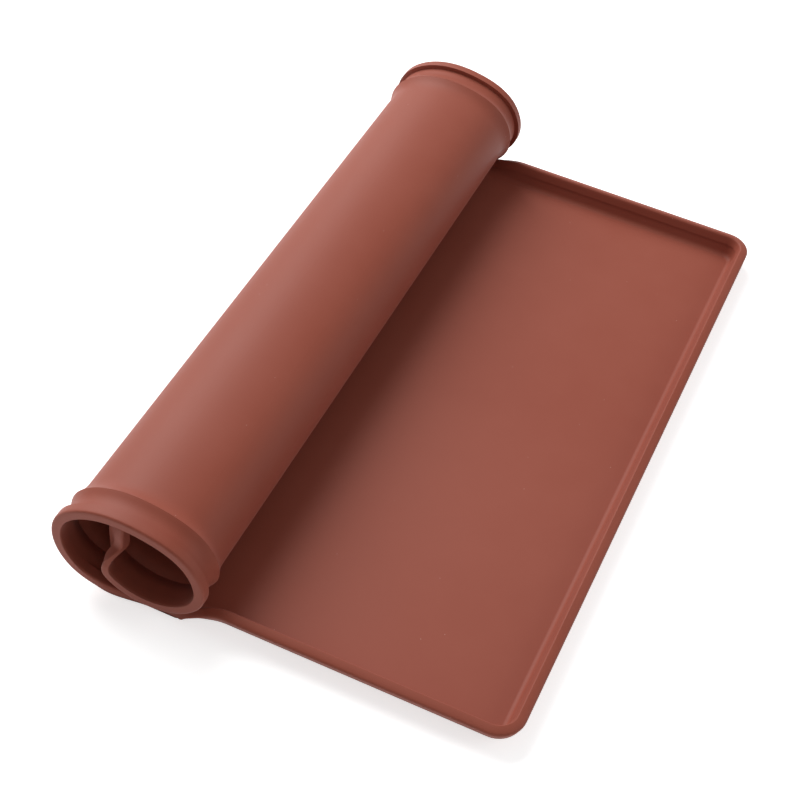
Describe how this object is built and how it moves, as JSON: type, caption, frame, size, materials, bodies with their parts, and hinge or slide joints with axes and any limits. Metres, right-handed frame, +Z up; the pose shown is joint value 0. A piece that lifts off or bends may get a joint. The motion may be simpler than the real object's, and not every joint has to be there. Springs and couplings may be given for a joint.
{
  "type": "silicone baking mat",
  "caption": "Shallow rectangular silicone baking tray mat with a beaded raised rim, its left end rolled up; the roll unrolls flat on coupled hinge lines.",
  "frame": {"origin": "centre of the bottom of the box around the half-rolled mat, on the table", "axes": "+Z up from the table, +Y along the roll towards the back, +X from the roll towards the open tray and its end rim"},
  "size_m": [0.1674, 0.2844, 0.0439],
  "materials": {
    "silicone": "satin cocoa brown silicone with a fine matt tooth"
  },
  "bodies": {
    "tray": {"tray_floor": "silicone", "right_rim": "silicone", "front_rim": "silicone", "front_rim_rise": "silicone", "front_rim_pressed": "silicone", "front_corner": "silicone", "back_rim": "silicone", "back_rim_rise": "silicone", "back_rim_pressed": "silicone", "back_corner": "silicone"},
    "roll_strip_01": {"roll_floor_01": "silicone", "roll_front_rim_01": "silicone", "roll_back_rim_01": "silicone"},
    "roll_strip_02": {"roll_floor_02": "silicone", "roll_front_rim_02": "silicone", "roll_back_rim_02": "silicone"},
    "roll_strip_03": {"roll_floor_03": "silicone", "roll_front_rim_03": "silicone", "roll_back_rim_03": "silicone"},
    "roll_strip_04": {"roll_floor_04": "silicone", "roll_front_rim_04": "silicone", "roll_back_rim_04": "silicone"},
    "roll_strip_05": {"roll_floor_05": "silicone", "roll_front_rim_05": "silicone", "roll_back_rim_05": "silicone"},
    "roll_strip_06": {"roll_floor_06": "silicone", "roll_front_rim_06": "silicone", "roll_back_rim_06": "silicone"},
    "roll_strip_07": {"roll_floor_07": "silicone", "roll_front_rim_07": "silicone", "roll_back_rim_07": "silicone"},
    "roll_strip_08": {"roll_floor_08": "silicone", "roll_front_rim_08": "silicone", "roll_back_rim_08": "silicone"},
    "roll_strip_09": {"roll_floor_09": "silicone", "roll_front_rim_09": "silicone", "roll_back_rim_09": "silicone"},
    "roll_strip_10": {"roll_floor_10": "silicone", "roll_front_rim_10": "silicone", "roll_back_rim_10": "silicone"},
    "end_flap": {"end_flap_rim": "silicone", "end_flap_back_corner": "silicone", "end_flap_front_corner": "silicone", "end_flap_floor": "silicone"}
  },
  "joints": [
    {"name": "roll_hinge_01", "type": "hinge", "parent": "tray", "child": "roll_strip_01", "pos_m": [-0.04847, 0, 0], "axis": [0, -1, 0], "range_deg": [-0.1, 3.97]},
    {"name": "roll_hinge_02", "type": "hinge", "parent": "roll_strip_01", "child": "roll_strip_02", "pos_m": [-0.06549, 0, 0.0034], "axis": [0, -1, 0], "range_deg": [-0.1, 27.23]},
    {"name": "roll_hinge_03", "type": "hinge", "parent": "roll_strip_02", "child": "roll_strip_03", "pos_m": [-0.07901, 0, 0.01413], "axis": [0, -1, 0], "range_deg": [-0.1, 56.44]},
    {"name": "roll_hinge_04", "type": "hinge", "parent": "roll_strip_03", "child": "roll_strip_04", "pos_m": [-0.07978, 0, 0.03063], "axis": [0, -1, 0], "range_deg": [0, 55.76]},
    {"name": "roll_hinge_05", "type": "hinge", "parent": "roll_strip_04", "child": "roll_strip_05", "pos_m": [-0.06617, 0, 0.04085], "axis": [0, -1, 0], "range_deg": [-0.1, 35.42]},
    {"name": "roll_hinge_06", "type": "hinge", "parent": "roll_strip_05", "child": "roll_strip_06", "pos_m": [-0.04884, 0, 0.04133], "axis": [0, -1, 0], "range_deg": [-0.1, 26.55]},
    {"name": "roll_hinge_07", "type": "hinge", "parent": "roll_strip_06", "child": "roll_strip_07", "pos_m": [-0.03314, 0, 0.03405], "axis": [0, -1, 0], "range_deg": [-0.1, 50.42]},
    {"name": "roll_hinge_08", "type": "hinge", "parent": "roll_strip_07", "child": "roll_strip_08", "pos_m": [-0.02896, 0, 0.01828], "axis": [0, -1, 0], "range_deg": [-0.1, 65.01]},
    {"name": "roll_hinge_09", "type": "hinge", "parent": "roll_strip_08", "child": "roll_strip_09", "pos_m": [-0.04183, 0, 0.00752], "axis": [0, -1, 0], "range_deg": [-0.1, 47.16]},
    {"name": "roll_hinge_10", "type": "hinge", "parent": "roll_strip_09", "child": "roll_strip_10", "pos_m": [-0.05886, 0, 0.00966], "axis": [0, -1, 0], "range_deg": [-0.1, 58.28]},
    {"name": "roll_hinge_11", "type": "hinge", "parent": "roll_strip_10", "child": "end_flap", "pos_m": [-0.06767, 0, 0.0237], "axis": [0, -1, 0], "range_deg": [-0.1, 33.99]}
  ],
  "couplings": [
    {"joint": "roll_hinge_01", "follows": "roll_hinge_04", "ratio": 0.06936},
    {"joint": "roll_hinge_02", "follows": "roll_hinge_04", "ratio": 0.48648},
    {"joint": "roll_hinge_03", "follows": "roll_hinge_04", "ratio": 1.0104},
    {"joint": "roll_hinge_05", "follows": "roll_hinge_04", "ratio": 0.63351},
    {"joint": "roll_hinge_06", "follows": "roll_hinge_04", "ratio": 0.47443},
    {"joint": "roll_hinge_07", "follows": "roll_hinge_04", "ratio": 0.90241},
    {"joint": "roll_hinge_08", "follows": "roll_hinge_04", "ratio": 1.1642},
    {"joint": "roll_hinge_09", "follows": "roll_hinge_04", "ratio": 0.84398},
    {"joint": "roll_hinge_10", "follows": "roll_hinge_04", "ratio": 1.0434},
    {"joint": "roll_hinge_11", "follows": "roll_hinge_04", "ratio": 0.60785}
  ]
}
